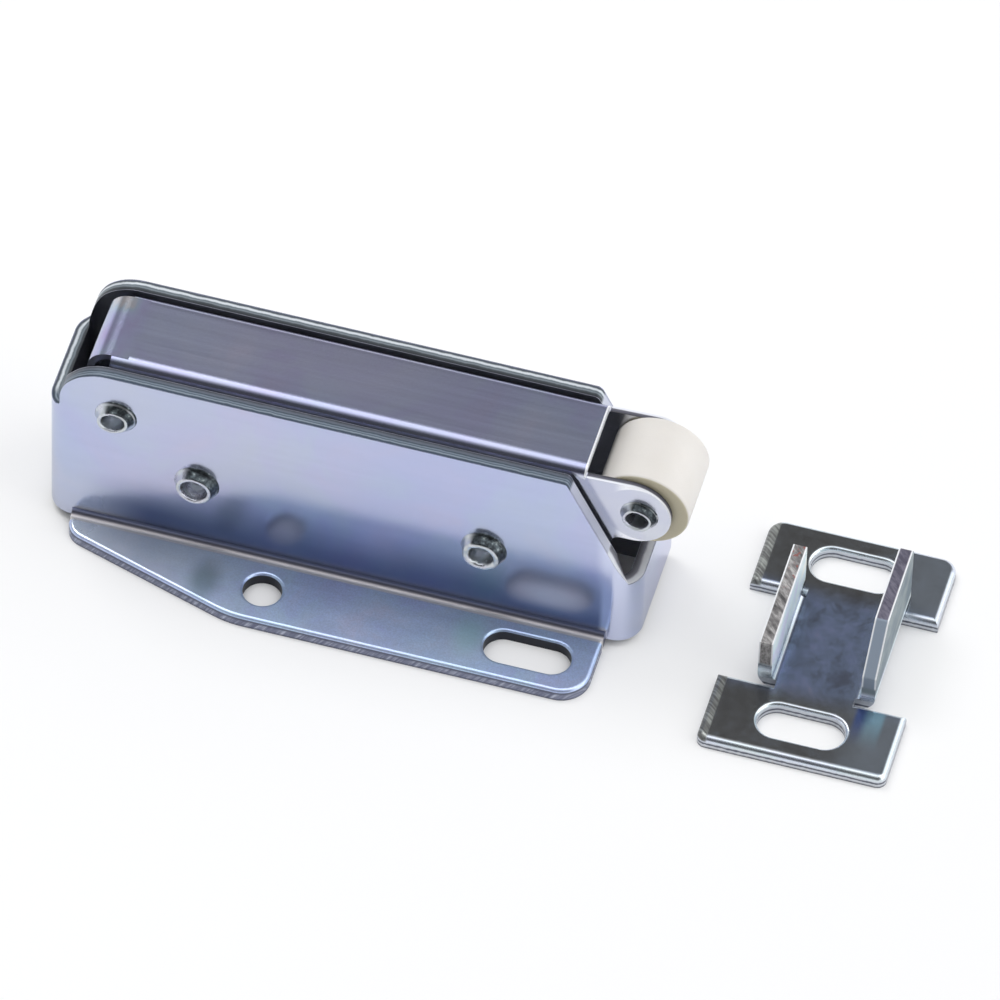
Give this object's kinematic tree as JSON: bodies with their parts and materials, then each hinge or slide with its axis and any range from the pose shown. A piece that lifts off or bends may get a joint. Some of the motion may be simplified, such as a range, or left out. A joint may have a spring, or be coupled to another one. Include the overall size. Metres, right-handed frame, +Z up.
{
  "type": "spring catch",
  "caption": "Roller spring catch: a folded case with a side fixing flange holds a sprung lever, whose roller drops between the upright lugs of a separate slotted keeper.",
  "frame": {"origin": "centre of the round fixing hole in the flange, on the underside", "axes": "+X along the case towards the roller, +Y from the flange to the case, +Z up, away from the mounting surface"},
  "size_m": [0.1247, 0.041, 0.0334],
  "materials": {
    "case_zinc": "bright zinc plated sheet with a faint blue tint",
    "lever_zinc": "bright zinc plated sheet, darker, with a faint rainbow tint at the bends",
    "keeper_zinc": "bright zinc plated sheet",
    "rivet_steel": "zinc plated, rolled over at the near end",
    "sleeve_steel": "turned steel tube",
    "spring_steel": "drawn spring wire, lightly oiled",
    "roller_nylon": "off-white nylon, satin"
  },
  "bodies": {
    "case": {"flange": "case_zinc", "near_wall": "case_zinc", "far_wall": "case_zinc", "rear_wall": "case_zinc", "front_wall": "case_zinc", "pivot_rivet": "rivet_steel", "spring_rivet": "rivet_steel", "stop_rivet": "rivet_steel", "pivot_sleeve": "sleeve_steel", "spring_sleeve": "sleeve_steel", "stop_sleeve": "sleeve_steel", "torsion_spring": "spring_steel", "keeper": "keeper_zinc"},
    "lever": {"lever": "lever_zinc", "roller_pin": "rivet_steel"},
    "roller": {"roller": "roller_nylon"}
  },
  "joints": [
    {"name": "lever_swing", "type": "hinge", "parent": "case", "child": "lever", "pos_m": [-0.023, 0.015, 0.0248], "axis": [0, 1, 0], "range_deg": [0, 4.24], "stiffness_Nm_per_rad": 2, "springref_deg": -14.32, "deforming": ["torsion_spring"]},
    {"name": "roller_spin", "type": "hinge", "parent": "lever", "child": "roller", "pos_m": [0.0512, 0.015, 0.02665], "axis": [0, 1, 0], "continuous": true}
  ]
}
